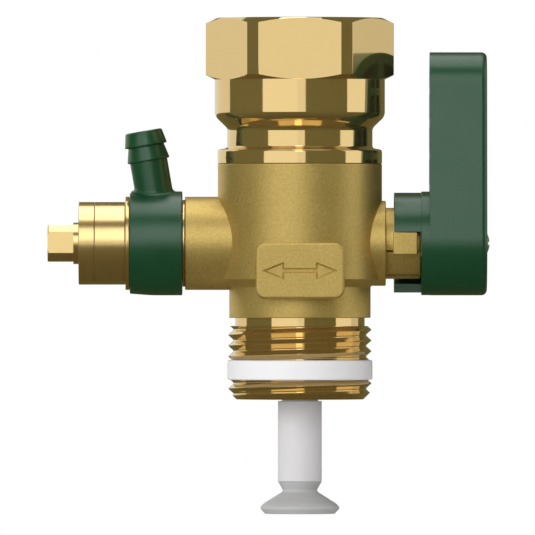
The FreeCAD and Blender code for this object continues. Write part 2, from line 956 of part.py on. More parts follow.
def drain_bonnet():
    """The bonnet: barrel through the collar, head, plug chamber with slots and water ports."""
    solid = turned([
        (0, bonnet_nose),
        (bonnet_barrel_radius - bonnet_nose_chamfer, bonnet_nose),
        (bonnet_barrel_radius, bonnet_nose + bonnet_nose_chamfer),
        (bonnet_barrel_radius, bonnet_head_start),
        (bonnet_head_radius, bonnet_head_start, bonnet_edge),
        (bonnet_head_radius, bonnet_head_end, bonnet_edge),
        (0, bonnet_head_end),
    ])
    mouth = bonnet_nose - past
    solid = solid.cut(drum(bonnet_chamber_radius, mouth, chamber_end))
    solid = solid.cut(drum(bonnet_bore_radius, chamber_end - past, bonnet_shoulder + past))
    solid = solid.cut(drum(gland_socket_radius, bonnet_shoulder, bonnet_head_end + past))
    half = bonnet_slot_width / 2
    reach = bonnet_slot_reach
    cross = block((-half, -reach, mouth), (half, reach, chamber_end))
    cross = cross.fuse(block((-reach, -half, mouth), (reach, half, chamber_end)))
    solid = solid.cut(drum(reach, mouth, chamber_end).common(cross))
    for direction in (point(1, 0, 0), point(0, 1, 0)):
        outside = bonnet_head_radius + past
        foot = point(0, 0, outlet_middle) - direction * outside
        solid = solid.cut(Part.makeCylinder(bonnet_port_radius, 2 * outside, foot, direction))
    return to_drain(solid)


def drain_gland_nut():
    """The nut that closes the bonnet and holds the spindle's thrust flange."""
    gland_plug_radius = gland_socket_radius - running_gap
    solid = turned([
        (journal_radius + running_gap, gland_neck_end),
        (gland_plug_radius, gland_neck_end),
        (gland_plug_radius, gland_start),
        (bonnet_head_radius, gland_start, bonnet_edge),
        (bonnet_head_radius, gland_end, bonnet_edge),
        (journal_radius + running_gap, gland_end),
    ])
    return to_drain(solid)


def spindle_ring_place():
    return (chamber_end + bonnet_shoulder) / 2


def drain_spindle():
    """The spindle: threaded tail, sealed shaft, thrust flange, journal and square key."""
    tail_start = chamber_end - spindle_tail_gap
    shaft = turned([
        (0, spindle_tip),
        (spindle_thread_radius - spindle_tip_chamfer, spindle_tip),
        (spindle_thread_radius, spindle_tip + spindle_tip_chamfer),
        (spindle_thread_radius, tail_start),
        (spindle_radius, tail_start),
        (spindle_radius, thrust_start),
        (flange_thrust_radius, thrust_start),
        (flange_thrust_radius, thrust_end),
        (journal_radius, thrust_end),
        (journal_radius, journal_end),
        (0, journal_end),
    ])
    half = key_square / 2
    key_foot = journal_end - overlap
    key = block((-half, -half, key_foot), (half, half, key_end))
    key = key.common(turned([
        (0, key_foot),
        (journal_radius, key_foot),
        (journal_radius, key_end - key_edge),
        (journal_radius - key_edge, key_end),
        (0, key_end),
    ]))
    key.rotate(centre, z_axis, key_turn)
    solid = fused([shaft, key])
    place = spindle_ring_place()
    half_groove = spindle_ring_cord / 2 + running_gap
    root = bonnet_bore_radius - spindle_ring_cord
    return to_drain(solid.cut(tube(spindle_radius + past, root, place - half_groove, place + half_groove)))


def spindle_o_ring():
    return to_drain(seal(bonnet_bore_radius - spindle_ring_cord, bonnet_bore_radius, spindle_ring_place()))


def drain_plug():
    """The plug: threaded on the spindle, kept from turning by two ears in the bonnet's slots."""
    body = drum(plug_radius, plug_start, plug_end)
    half = plug_ear_width / 2
    ears = block((-half, -plug_ear_reach, plug_end - plug_ear_length), (half, plug_ear_reach, plug_end))
    ears = ears.common(drum(plug_ear_reach, plug_start, plug_end))
    stud = drum(plug_stud_radius, plug_start - plug_stud_length, plug_start + overlap)
    bore = drum(spindle_thread_radius + running_gap, plug_end - plug_bore_depth, plug_end + past)
    return to_drain(fused([body, ears, stud]).cut(bore))


def plug_seal():
    return to_drain(tube(seal_radius, plug_stud_radius + running_gap, seal_start, plug_start - pressed_gap))


nodes = {
    "valve_body": valve_body,
    "end_connector": end_connector,
    "connector_o_ring": connector_o_ring,
    "lower_seat": lower_seat,
    "upper_seat": upper_seat,
    "thread_seal_ring": thread_seal_ring,
    "tube_carrier": tube_carrier,
    "dip_tube": dip_tube,
    "flow_deflector": flow_deflector,
    "ball": ball,
    "stem": stem,
    "stem_thrust_washer": stem_thrust_washer,
    "stem_o_rings": stem_o_rings,
    "lever": lever,
    "lever_screw": lever_screw,
    "bonnet_spacer_washer": bonnet_spacer_washer,
    "drain_outlet": drain_outlet,
    "outlet_o_rings": outlet_o_rings,
    "outlet_washer": outlet_washer,
    "drain_bonnet": drain_bonnet,
    "drain_gland_nut": drain_gland_nut,
    "drain_spindle": drain_spindle,
    "spindle_o_ring": spindle_o_ring,
    "drain_plug": drain_plug,
    "plug_seal": plug_seal,
}

os.makedirs("parts", exist_ok=True)
for name, make in nodes.items():
    shape = make()
    shape.exportStep(os.path.join("parts", name + ".step"))
    box = shape.optimalBoundingBox()
    print(name, "solids", len(shape.Solids), "valid", shape.isValid(), "volume", round(shape.Volume, 1))
    print("   x %.2f %.2f" % (box.XMin, box.XMax), "y %.2f %.2f" % (box.YMin, box.YMax),
          "z %.2f %.2f" % (box.ZMin, box.ZMax))
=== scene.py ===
import bmesh
import bpy
import json
import math
from mathutils import Matrix, Vector


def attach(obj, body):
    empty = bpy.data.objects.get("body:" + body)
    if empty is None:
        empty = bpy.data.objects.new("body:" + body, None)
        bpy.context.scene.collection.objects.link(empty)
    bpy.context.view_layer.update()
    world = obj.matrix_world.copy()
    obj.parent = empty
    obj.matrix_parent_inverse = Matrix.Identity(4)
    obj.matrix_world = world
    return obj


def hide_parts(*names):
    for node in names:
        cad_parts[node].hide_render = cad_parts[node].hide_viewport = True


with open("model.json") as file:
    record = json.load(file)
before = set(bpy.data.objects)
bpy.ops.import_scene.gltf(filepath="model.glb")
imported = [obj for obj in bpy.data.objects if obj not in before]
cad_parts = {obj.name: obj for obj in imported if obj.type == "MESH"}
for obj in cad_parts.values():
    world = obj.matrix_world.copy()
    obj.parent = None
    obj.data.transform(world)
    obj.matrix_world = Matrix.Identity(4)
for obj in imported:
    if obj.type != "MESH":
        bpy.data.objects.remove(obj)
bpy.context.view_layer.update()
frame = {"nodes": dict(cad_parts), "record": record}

# Flow-through ball valve for an expansion vessel. The scene is in metres, with +Z up along the
# waterway, the lever at +X, the drain at -X and the arrow plate facing -Y. Sizes below are in mm.

nodes = frame["nodes"]
mm = 0.001
stemHeight = 28.80  # of the axis that the lever's stem and the drain share
fullTurn = 2 * math.pi

print("frame loaded with", len(nodes), "nodes")


# Materials

def hexColour(text):  # an sRGB hex colour as the linear values that shaders take
    parts = [int(text[i:i + 2], 16) / 255 for i in (1, 3, 5)]
    return [c / 12.92 if c <= 0.04045 else ((c + 0.055) / 1.055) ** 2.4 for c in parts] + [1]


def addNode(material, kind, values=None, links=None, fields=None):  # one node, its settings, its links
    node = material.node_tree.nodes.new(kind)
    for field, value in (fields or {}).items():
        setattr(node, field, value)
    for socket, value in (values or {}).items():
        node.inputs[socket].default_value = value
    for socket, source in (links or {}).items():
        material.node_tree.links.new(source, node.inputs[socket])
    return node


def newMaterial(name, values):
    material = bpy.data.materials.new(name)
    material.use_nodes = True
    shader = material.node_tree.nodes["Principled BSDF"]
    for socket, value in values.items():
        shader.inputs[socket].default_value = value
    return material, shader


def perMetre(size):  # a texture's scale for features of this size in mm
    return 1000 / size


def grain(material, place, size, detail=2.0, roughness=0.5):  # a noise pattern with features of this size
    return addNode(material, "ShaderNodeTexNoise",
                   {"Scale": perMetre(size), "Detail": detail, "Roughness": roughness},
                   {"Vector": place}).outputs["Fac"]


def stretched(material, factor):  # the noise spread over the whole range from 0 to 1
    return addNode(material, "ShaderNodeMapRange", {"From Min": 0.28, "From Max": 0.72},
                   {"Value": factor}).outputs["Result"]


def blend(material, factor, low, high):  # a colour between two hex colours
    mix = addNode(material, "ShaderNodeMix", {6: hexColour(low), 7: hexColour(high)}, {0: factor},
                  {"data_type": "RGBA"})
    return mix.outputs[2]


def spread(material, factor, low, high):  # a number between two values
    return addNode(material, "ShaderNodeMapRange", {"To Min": low, "To Max": high},
                   {"Value": factor}).outputs["Result"]


def relief(material, shader, height, depth, strength=1.0):  # a bump of this depth in mm
    bump = addNode(material, "ShaderNodeBump", {"Strength": strength, "Distance": depth * mm},
                   {"Height": height})
    material.node_tree.links.new(bump.outputs["Normal"], shader.inputs["Normal"])
    return bump


def objectPlace(material):
    return addNode(material, "ShaderNodeTexCoord").outputs["Object"]


blastedBrassLook = {
    "low": "#c8aa5e", "high": "#edd187",  # between the duller and the brighter spots
    "driftSize": 5.0, "speckleSize": 0.42, "speckleShare": 0.55,
    "grainSize": 0.2, "grainDepth": 0.016,
    "smoothest": 0.39, "roughest": 0.49, "metallic": 0.83,  # the blasted skin scatters some light as a matt one
}


def makeBlastedBrass():  # forged brass, shot blasted: matt, with a fine even speckle and soft blotches
    look = blastedBrassLook
    material, shader = newMaterial("blasted brass", {"Metallic": look["metallic"]})
    place = objectPlace(material)
    drift = grain(material, place, look["driftSize"], 4.0)
    speckle = stretched(material, grain(material, place, look["speckleSize"], 2.0, 0.6))
    fine = grain(material, place, look["grainSize"], 2.0, 0.6)
    both = addNode(material, "ShaderNodeMix", {0: look["speckleShare"]}, {2: drift, 3: speckle}).outputs[0]
    links = material.node_tree.links
    links.new(blend(material, both, look["low"], look["high"]), shader.inputs["Base Color"])
    links.new(spread(material, drift, look["smoothest"], look["roughest"]), shader.inputs["Roughness"])
    relief(material, shader, fine, look["grainDepth"])
    return material


turnedBrassRoughness = (0.21, 0.26)

polishedBrassLook = {
    "low": "#e0c38a", "high": "#e7cb93",
    "cloudSize": 9.0,  # of faint handling marks in the polish
    "grainSize": 0.3, "metallic": 0.95,
}


def makePolishedBrass(name, smoothest, roughest):  # free-cutting brass, turned: a warm mirror
    look = polishedBrassLook
    material, shader = newMaterial(name, {"Metallic": look["metallic"]})
    place = objectPlace(material)
    cloud = grain(material, place, look["cloudSize"], 4.0)
    fine = grain(material, place, look["grainSize"], 2.0, 0.7)
    links = material.node_tree.links
    links.new(blend(material, fine, look["low"], look["high"]), shader.inputs["Base Color"])
    links.new(spread(material, cloud, smoothest, roughest), shader.inputs["Roughness"])
    return material


def makePlastic(name, low, high, smoothest, roughest, grainSize, grainDepth, driftSize=5.0, extra=None):
    material, shader = newMaterial(name, {"Metallic": 0.0, "IOR": 1.5, **(extra or {})})
    place = objectPlace(material)
    drift = grain(material, place, driftSize, 3.0)
    fine = grain(material, place, grainSize, 1.0)
    links = material.node_tree.links
    links.new(blend(material, drift, low, high), shader.inputs["Base Color"])
    links.new(spread(material, drift, smoothest, roughest), shader.inputs["Roughness"])
    relief(material, shader, fine, grainDepth)
    return material


def makeMetal(name, low, high, smoothest, roughest, grainSize, grainDepth):
    material, shader = newMaterial(name, {"Metallic": 1.0})
    place = objectPlace(material)
    fine = grain(material, place, grainSize, 2.0)
    links = material.node_tree.links
    links.new(blend(material, fine, low, high), shader.inputs["Base Color"])
    links.new(spread(material, fine, smoothest, roughest), shader.inputs["Roughness"])
    relief(material, shader, fine, grainDepth)
    return material


materials = {
    "blasted_brass": makeBlastedBrass(),
    "polished_brass": makePolishedBrass("polished brass", 0.045, 0.085),
    # glass-filled nylon, moulded in a spark-eroded tool: satin with a fine even texture
    "green_plastic": makePlastic("moulded green nylon", "#013a1e", "#024126", 0.28, 0.36, 0.34, 0.014,
                                 extra={"IOR": 1.56, "Specular IOR Level": 0.74,
                                        "Specular Tint": (0.88, 1.0, 0.95, 1)}),
    # acetal, moulded: smooth, slightly waxy
    "white_plastic": makePlastic("moulded white acetal", "#dfdedf", "#e6e5e6", 0.38, 0.46, 0.5, 0.003),
    # polyethylene, extruded: dull, faintly milky
    "pale_plastic": makePlastic("extruded pale polyethylene", "#cdcbcd", "#d3d1d3", 0.45, 0.55, 0.6, 0.003),
    # polypropylene, moulded: even mid grey
    "grey_plastic": makePlastic("moulded grey polypropylene", "#afafaf", "#b6b6b6", 0.45, 0.52, 0.5, 0.004),
    # PTFE, turned: white and greasy smooth
    "seat_plastic": makePlastic("turned white fluoropolymer", "#e2e2dd", "#e8e8e4", 0.40, 0.48, 0.4, 0.002),
    # nitrile rubber, moulded: black with a soft sheen
    "black_rubber": makePlastic("moulded black nitrile rubber", "#161616", "#1c1c1c", 0.42, 0.55, 0.3, 0.004),
    # hard chrome on brass, polished: a neutral mirror
    "chrome_plate": makeMetal("chrome plate", "#c9cbcd", "#cfd1d3", 0.06, 0.10, 3.0, 0.0),
    # zinc-plated steel, cold headed: grey and softly bright
    "steel": makeMetal("zinc-plated steel", "#b4b6b7", "#c0c2c3", 0.30, 0.42, 0.3, 0.004),
}

turnedBrass = makePolishedBrass("turned brass", *turnedBrassRoughness)  # the drain's pieces, as they left the lathe
print("materials made:", len(materials))

for name, node in nodes.items():
    slots = {entry["node"]: entry["material_slot"] for entry in frame["record"]["subparts"]}
    node.data.materials.clear()
    node.data.materials.append(materials[slots[name]])


# Modelling helpers

def startShape(corners, closed=True):  # an outline of (radius, height) corners in mm, in the XZ plane
    bm = bmesh.new()
    points = [bm.verts.new((corner[0] * mm, 0, corner[1] * mm)) for corner in corners]
    for first, second in zip(points, points[1:]):
        bm.edges.new((first, second))
    if closed:
        bm.edges.new((points[-1], points[0]))
    return bm


def tidyShape(bm):
    bmesh.ops.remove_doubles(bm, verts=bm.verts, dist=0.0004 * mm)
    bmesh.ops.recalc_face_normals(bm, faces=bm.faces)
    return bm


def turned(corners, steps=192, segments=4):  # turned about Z; a corner's third value rounds it to this radius
    closed = corners[0][0] > 0
    bm = startShape(corners, closed)
    bmesh.ops.spin(bm, geom=bm.verts[:] + bm.edges[:], cent=(0, 0, 0), axis=(0, 0, 1), angle=fullTurn,
                   steps=steps, use_merge=True)
    tidyShape(bm)
    for index, corner in enumerate(corners):
        if len(corner) > 2:
            here = Vector(corner[:2])
            back = here - Vector(corners[index - 1][:2])
            ahead = Vector(corners[(index + 1) % len(corners)][:2]) - here
            reach = corner[2] * math.tan(back.angle(ahead) / 2)
            soften(bm, ringEdges(bm, corner[0], corner[1]), reach, segments)
    return bm


def ringEdges(bm, radius, height):
    def onRing(vert):
        return (abs(math.hypot(vert.co.x, vert.co.y) - radius * mm) < 0.002 * mm
                and abs(vert.co.z - height * mm) < 0.002 * mm)
    return [edge for edge in bm.edges if onRing(edge.verts[0]) and onRing(edge.verts[1])]


def sharpEdges(bm, angle=20):
    limit = math.radians(angle)
    return [edge for edge in bm.edges if len(edge.link_faces) == 2 and edge.calc_face_angle(0) > limit]


def soften(bm, edges, width, segments=3):
    bmesh.ops.bevel(bm, geom=edges, offset=width * mm, offset_type="OFFSET", segments=segments,
                    profile=0.5, affect="EDGES", material=-1, clamp_overlap=True)
    return bm


def moved(bm, turn=None, shift=(0, 0, 0)):
    bmesh.ops.transform(bm, matrix=Matrix.Translation([s * mm for s in shift]) @ (turn or Matrix()),
                        verts=bm.verts)
    return bm


def ontoStem(bm):  # from about Z onto the stem's axis, +Z towards +X
    return moved(bm, Matrix.Rotation(math.radians(90), 4, "Y"), (0, 0, stemHeight))


def ontoDrain(bm):  # from about Z onto the drain's axis, +Z towards -X
    return moved(bm, Matrix.Rotation(math.radians(-90), 4, "Y"), (0, 0, stemHeight))


def joined(first, second):  # both shapes in one bmesh
    mesh = bpy.data.meshes.new("working")
    second.to_mesh(mesh)
    second.free()
    first.from_mesh(mesh)
    bpy.data.meshes.remove(mesh)
    return first


def combined(base, tool, operation):  # an exact boolean of two closed shapes
    holders = []
    for shape in (base, tool):
        mesh = bpy.data.meshes.new("working")
        shape.to_mesh(mesh)
        shape.free()
        holders.append(bpy.data.objects.new("working", mesh))
        bpy.context.scene.collection.objects.link(holders[-1])
    carve = holders[0].modifiers.new("carve", "BOOLEAN")
    carve.operation = operation
    carve.solver = "EXACT"
    carve.object = holders[1]
    done = bmesh.new()
    done.from_object(holders[0], bpy.context.evaluated_depsgraph_get())
    for holder in holders:
        bpy.data.meshes.remove(holder.data)
    return done


def finished(name, bm, slot, body, replaced=(), smoothTo=34, material=None):  # the piece, in place on its body
    mesh = bpy.data.meshes.new(name)
    bm.to_mesh(mesh)
    bm.free()
    mesh.materials.append(material or materials[slot])
    for face in mesh.polygons:
        face.use_smooth = True
    mesh.set_sharp_from_angle(angle=math.radians(smoothTo))
    piece = bpy.data.objects.new(name, mesh)
    bpy.context.scene.collection.objects.link(piece)
    flatten = piece.modifiers.new("weighted normals", "WEIGHTED_NORMAL")  # keeps big faces true beside small bevels
    flatten.keep_sharp = True
    piece.cycles.shadow_terminator_geometry_offset = 0  # the default lights long faces up beside a crossing
    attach(piece, body)
    if replaced:
        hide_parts(*replaced)
    return piece


threadForm = {"crest": 13.22, "root": 12.25, "crestRound": 0.06, "rootRound": 0.22, "pitch": 1.979,
              "crestHeight": 8.90,  # of one crest on the +X side
              "stepsPerTurn": 96}


def threadRod(low, high, grow=0.0):  # a closed rod with a true right-handed helical thread
    form = threadForm
    pitch = form["pitch"]
    turns = math.ceil((high - low) / pitch) + 2
    start = form["crestHeight"] - pitch * math.ceil((form["crestHeight"] - low) / pitch + 1)
    outer = form["crest"] - form["crestRound"]  # the centres of the two roundings
    inner = form["root"] + form["rootRound"]
    across = math.hypot(pitch / 2, outer - inner)
    lean = math.atan2(pitch / 2, outer - inner) - math.asin((form["crestRound"] + form["rootRound"]) / across)
    corners = []
    for centre, height, radius in ((outer, start, form["crestRound"]),
                                   (inner, start + pitch / 2, -form["rootRound"])):
        for part in (-1, -0.5, 0, 0.5, 1):
            angle = part * (math.pi / 2 - lean)
            corners.append((centre + grow + radius * math.cos(angle), height + abs(radius) * math.sin(angle)))
    corners.append((corners[0][0], corners[0][1] + pitch))
    bm = startShape(corners, closed=False)
    steps = form["stepsPerTurn"]
    bmesh.ops.spin(bm, geom=bm.verts[:] + bm.edges[:], cent=(0, 0, 0), axis=(0, 0, 1),
                   angle=fullTurn * turns, steps=steps * turns, dvec=(0, 0, pitch * mm / steps))
    bmesh.ops.remove_doubles(bm, verts=bm.verts, dist=0.001 * mm)
    for height, side in ((low, 1), (high, -1)):
        bmesh.ops.bisect_plane(bm, geom=bm.verts[:] + bm.edges[:] + bm.faces[:], dist=0.0001 * mm,
                               plane_co=(0, 0, height * mm), plane_no=(0, 0, -side), clear_outer=True)
    rims = [edge for edge in bm.edges if edge.is_boundary]
    bmesh.ops.edgeloop_fill(bm, edges=rims)
    return tidyShape(bm)


# The spigot: turned brass with the outside thread, the ring's groove and the thread relief

spigot = {"top": 15.05, "threadTop": 13.53, "relief": 11.96, "mouth": 9.9, "bore": 9.10, "upperBore": 8.45,
          "boreStep": 11.0, "chamfer": 1.5, "grooveLow": 3.55, "grooveHigh": 7.31, "groove": 11.2}


def makeSpigot():
    s = spigot
    crest = threadForm["crest"]
    envelope = turned([
        (s["mouth"], 0), (crest - s["chamfer"], 0), (crest, s["chamfer"]), (crest, s["grooveLow"]),
        (s["groove"], s["grooveLow"]), (s["groove"], s["grooveHigh"]), (crest, s["grooveHigh"]),
        (crest, s["threadTop"]), (s["relief"], s["threadTop"]), (s["relief"], s["top"]),
        (s["upperBore"], s["top"]), (s["upperBore"], s["boreStep"]), (s["bore"], s["boreStep"]),
        (s["bore"], s["mouth"] - s["bore"]),
    ])
    bm = combined(threadRod(-0.6, s["top"] + 0.6), envelope, "INTERSECT")
    finished("threaded_spigot", tidyShape(bm), "polished_brass", "valve", smoothTo=30)


# The forged body: barrel, bosses, neck, stop lug and arrow plate, bored through and blasted all over

casting = {"radius": 15.15, "lowRadius": 13.05, "coneFoot": 20.79, "coneTop": 22.16, "top": 43.54, "edge": 0.3,
           "cavity": 12.90, "cavityFloor": 22.55, "seatPocket": 10.85, "pocketFloor": 17.30, "mouthChamfer": 0.5}
stemSide = {"boss": 7.85, "bossEnd": 15.85, "neck": 6.56, "neckEnd": 22.30, "chamfer": 0.35, "bore": 3.50,
            "headBore": 4.85, "headEnd": 14.15}
drainSide = {"boss": 8.6, "bossEnd": 21.20, "port": 2.6, "seat": 14.80, "socket": 6.65}
stopLug = {"start": 17.20, "end": 21.60, "reach": 8.90, "half": 2.05, "edge": 0.2}
plate = {"width": 16.4, "height": 10.32, "corner": 1.8, "edge": 0.45}


def makeCasting():
    c, s, d, g = casting, stemSide, drainSide, stopLug
    bm = turned([(0, spigot["top"]), (c["lowRadius"], spigot["top"], 0.15), (c["lowRadius"], c["coneFoot"], 0.2),
                 (c["radius"], c["coneTop"], 0.2), (c["radius"], c["top"], c["edge"]), (0, c["top"])])
    stemBoss = ontoStem(turned([(0, 0), (s["boss"], 0), (s["boss"], s["bossEnd"], 0.2), (0, s["bossEnd"])], 128))
    neck = ontoStem(turned([(0, 0), (s["neck"], 0), (s["neck"], s["neckEnd"], s["chamfer"]), (0, s["neckEnd"])],
                           128, 2))
    drainBoss = ontoDrain(turned([(0, 0), (d["boss"], 0), (d["boss"], d["bossEnd"], 0.2), (0, d["bossEnd"])], 128))
    lug = boxShape((g["start"], -g["reach"], stemHeight - g["half"]), (g["end"], -4.5, stemHeight + g["half"]))
    soften(lug, sharpEdges(lug), g["edge"], 2)
    for added in (stemBoss, neck, drainBoss, lug, plateShape()):
        bm = combined(bm, added, "UNION")
    bore = turned([(0, spigot["top"] - 1), (spigot["upperBore"], spigot["top"] - 1),
                   (spigot["upperBore"], c["pocketFloor"]), (c["seatPocket"], c["pocketFloor"]),
                   (c["seatPocket"], c["cavityFloor"]), (c["cavity"], c["cavityFloor"]),
                   (c["cavity"], c["top"] - c["mouthChamfer"]),
                   (c["cavity"] + c["mouthChamfer"] + 1, c["top"] + 1), (0, c["top"] + 1)])
    stemBore = ontoStem(turned([(0, 0), (s["headBore"], 0), (s["headBore"], s["headEnd"]), (s["bore"], s["headEnd"]),
                                (s["bore"], s["neckEnd"] + 1), (0, s["neckEnd"] + 1)], 96))
    drainBore = ontoDrain(turned([(0, 0), (d["port"], 0), (d["port"], d["seat"]), (d["socket"], d["seat"]),
                                  (d["socket"], d["bossEnd"] + 1), (0, d["bossEnd"] + 1)], 96))
    for cut in (bore, stemBore, drainBore, arrowCutter()):
        bm = combined(bm, cut, "DIFFERENCE")
    finished("body_casting", tidyShape(bm), "blasted_brass", "valve", ["valve_body"], smoothTo=30)


def boxShape(low, high):
    bm = bmesh.new()
    bmesh.ops.create_cube(bm, size=mm)
    bmesh.ops.scale(bm, verts=bm.verts, vec=[h - l for l, h in zip(low, high)])
    return moved(bm, shift=[(l + h) / 2 for l, h in zip(low, high)])


def plateShape():
    p, a = plate, arrow
    x, z = p["width"] / 2, p["height"] / 2
    bm = boxShape((-x, 0, -z), (x, 8, z))
    along = [e for e in bm.edges if abs(e.verts[0].co.y - e.verts[1].co.y) > mm]
    soften(bm, along, p["corner"], 8)
    front = [e for e in bm.edges if all(v.co.y < 0.01 * mm for v in e.verts)]
    soften(bm, front, p["edge"], 4)
    return moved(bm, shift=(0, -a["face"], stemHeight - a["drop"]))


arrow = {"length": 14.08, "head": 4.13, "headHeight": 3.34, "shaft": 1.06, "drop": 5.05, "face": 15.50,
         "depth": 0.40, "slope": 0.34}


def arrowCutter():  # the double arrow with chamfered walls
    a = arrow
    half, neck = a["length"] / 2, a["length"] / 2 - a["head"]
    quarter = [(neck, a["shaft"] / 2), (neck, a["headHeight"] / 2), (half, 0)]
    right = quarter + [(x, -z) for x, z in reversed(quarter[:2])]
    corners = right + [(-x, -z) for x, z in right]
    bm = startShape(corners)
    bmesh.ops.contextual_create(bm, geom=bm.edges[:])
    grown = bmesh.ops.inset_region(bm, faces=bm.faces[:], thickness=a["slope"] * mm, use_outset=True,
                                   use_boundary=True, use_even_offset=True)
    bmesh.ops.dissolve_edges(bm, edges=[e for e in bm.edges if len(e.link_faces) == 2], use_verts=True)
    front = bmesh.ops.extrude_face_region(bm, geom=bm.faces[:])
    fresh = [v for v in front["geom"] if isinstance(v, bmesh.types.BMVert)]
    bmesh.ops.translate(bm, verts=fresh, vec=(0, -1.2 * mm, 0))
    tidyShape(bm)
    floor = max(v.co.y for v in bm.verts)
    deep = [e for e in bm.edges if all(abs(v.co.y - floor) < 0.001 * mm for v in e.verts)]
    soften(bm, deep, a["slope"], 1)
    return moved(bm, shift=(0, -a["face"] + a["depth"], stemHeight - a["drop"]))


# The end connector: sealed tail, flange, waist, collar and hexagon, turned from hexagon bar

connector = {"tail": 12.85, "tailFoot": 35.05, "flange": 15.17, "flangeEdge": 0.50, "flangeTop": 46.07,
             "waist": 13.40, "waistFoot": 46.40, "waistTop": 50.05, "footFillet": 0.5, "topFillet": 1.2,
             "collar": 15.69, "collarFoot": 52.27, "collarEdge": 1.75, "hexFoot": 59.07, "hexTop": 70.41,
             "across": 31.2, "corner": 17.35, "topRadius": 15.23, "topChamfer": 1.0, "footChamfer": 0.8,
             "core": 14.0,  # a spigot that joins the collar into the hexagon
             "bore": 8.5, "socketFloor": 53.51, "lead": 1.2, "threadFoot": 56.2, "edge": 0.17}


def makeConnector():
    c = connector
    shank = turned([(0, c["tailFoot"]), (c["tail"], c["tailFoot"], 0.3), (c["tail"], casting["top"]),
                    (c["flange"], casting["top"], 0.05), (c["flange"], c["flangeTop"], c["flangeEdge"]),
                    (c["waist"], c["waistFoot"], c["footFillet"]), (c["waist"], c["waistTop"], c["topFillet"]),
                    (c["collar"], c["collarFoot"], c["collarEdge"]), (c["collar"], c["hexFoot"], 0.06),
                    (c["core"], c["hexFoot"]), (c["core"], c["hexFoot"] + 1), (0, c["hexFoot"] + 1)], segments=6)
    prism = bmesh.new()
    height = c["hexTop"] - c["hexFoot"]
    bmesh.ops.create_cone(prism, cap_ends=True, segments=6, radius1=c["across"] / math.sqrt(3) * mm,
                          radius2=c["across"] / math.sqrt(3) * mm, depth=height * mm)
    moved(prism, shift=(0, 0, c["hexFoot"] + height / 2 - 0.004))
    sides = sorted({round(math.degrees(math.atan2(v.co.y, v.co.x))) % 60 for v in prism.verts})
    moved(prism, Matrix.Rotation(math.radians(-sides[0]), 4, "Z"))  # corners on the X axis, a flat to the front
    envelope = turned([(0, c["hexFoot"] - 1), (c["collar"] - 0.4, c["hexFoot"] - 1),
                       (c["collar"] + 0.05, c["hexFoot"]),
                       (c["corner"], c["hexFoot"] + c["footChamfer"]), (c["corner"], c["hexTop"] - c["topChamfer"]),
                       (c["topRadius"] - c["corner"] + c["topRadius"], c["hexTop"] + c["topChamfer"]),
                       (0, c["hexTop"] + c["topChamfer"])])
    hexagon = tidyShape(combined(prism, envelope, "INTERSECT"))
    foot = (c["hexFoot"] + 0.3) * mm
    soften(hexagon, [e for e in sharpEdges(hexagon, 15) if min(v.co.z for v in e.verts) > foot], c["edge"], 2)
    bm = combined(shank, hexagon, "UNION")
    root, crest = threadForm["root"], threadForm["crest"]
    bore = turned([(0, c["tailFoot"] - 1), (casting["seatPocket"], c["tailFoot"] - 1),
                   (casting["seatPocket"], 40.30), (c["bore"], 40.30), (c["bore"], c["socketFloor"]),
                   (root, c["socketFloor"]), (root, c["hexTop"] - c["lead"]), (crest + 0.04, c["hexTop"]),
                   (crest + 0.04, c["hexTop"] + 1), (0, c["hexTop"] + 1)])
    bm = combined(bm, bore, "DIFFERENCE")
    bm = combined(bm, threadRod(c["threadFoot"], c["hexTop"] + 1, -0.05), "DIFFERENCE")
    finished("turned_connector", tidyShape(bm), "polished_brass", "valve", ["end_connector"], smoothTo=30)


# The white ring, the dip tube and the bell at its foot

def makeTube():
    finished("sealing_ring", turned([(11.25, 3.60), (13.40, 3.60, 0.35), (13.40, 7.26, 0.35), (11.25, 7.26)]),
             "white_plastic", "valve", ["thread_seal_ring"])
    finished("extruded_tube", turned([(3.41, -0.31), (4.04, -0.31, 0.08), (4.04, -15.14, 0.08), (3.41, -15.14)], 128),
             "pale_plastic", "valve", ["dip_tube"])
    top = -15.16
    bell = turned([(2.23, top + 3), (3.36, top + 3, 0.15), (3.36, top), (4.04, top, 0.05),
                   (3.03, top - 1.76, 0.5), (6.65, top - 4.03, 0.3), (7.26, top - 4.65, 0.15),
                   (7.26, top - 5.06, 0.15), (6.43, top - 5.96, 0.1), (5.63, top - 5.96, 0.1),
                   (5.63, top - 5.36, 0.3), (2.23, top - 2.56, 1.0)], 128)
    finished("moulded_bell", bell, "grey_plastic", "valve", ["flow_deflector"])


# The lever: glass-filled nylon with a round hub and tip, cored from the back

lever = {"hub": 9.6, "tip": 6.2, "reach": 35.28, "discStart": 22.40, "start": 23.94, "face": 34.51, "edge": 1.0,
         "wall": 1.9, "faceWall": 2.0, "rib": 1.3, "rows": 4, "pocketCorner": 0.7, "skirt": 9.35,
         "skirtWall": 1.55, "skirtStart": 17.37, "stop": 2.15, "square": 2.55, "socketEnd": 28.20,
         "screwHole": 1.6, "headRoom": 2.35, "headSeat": 33.41}


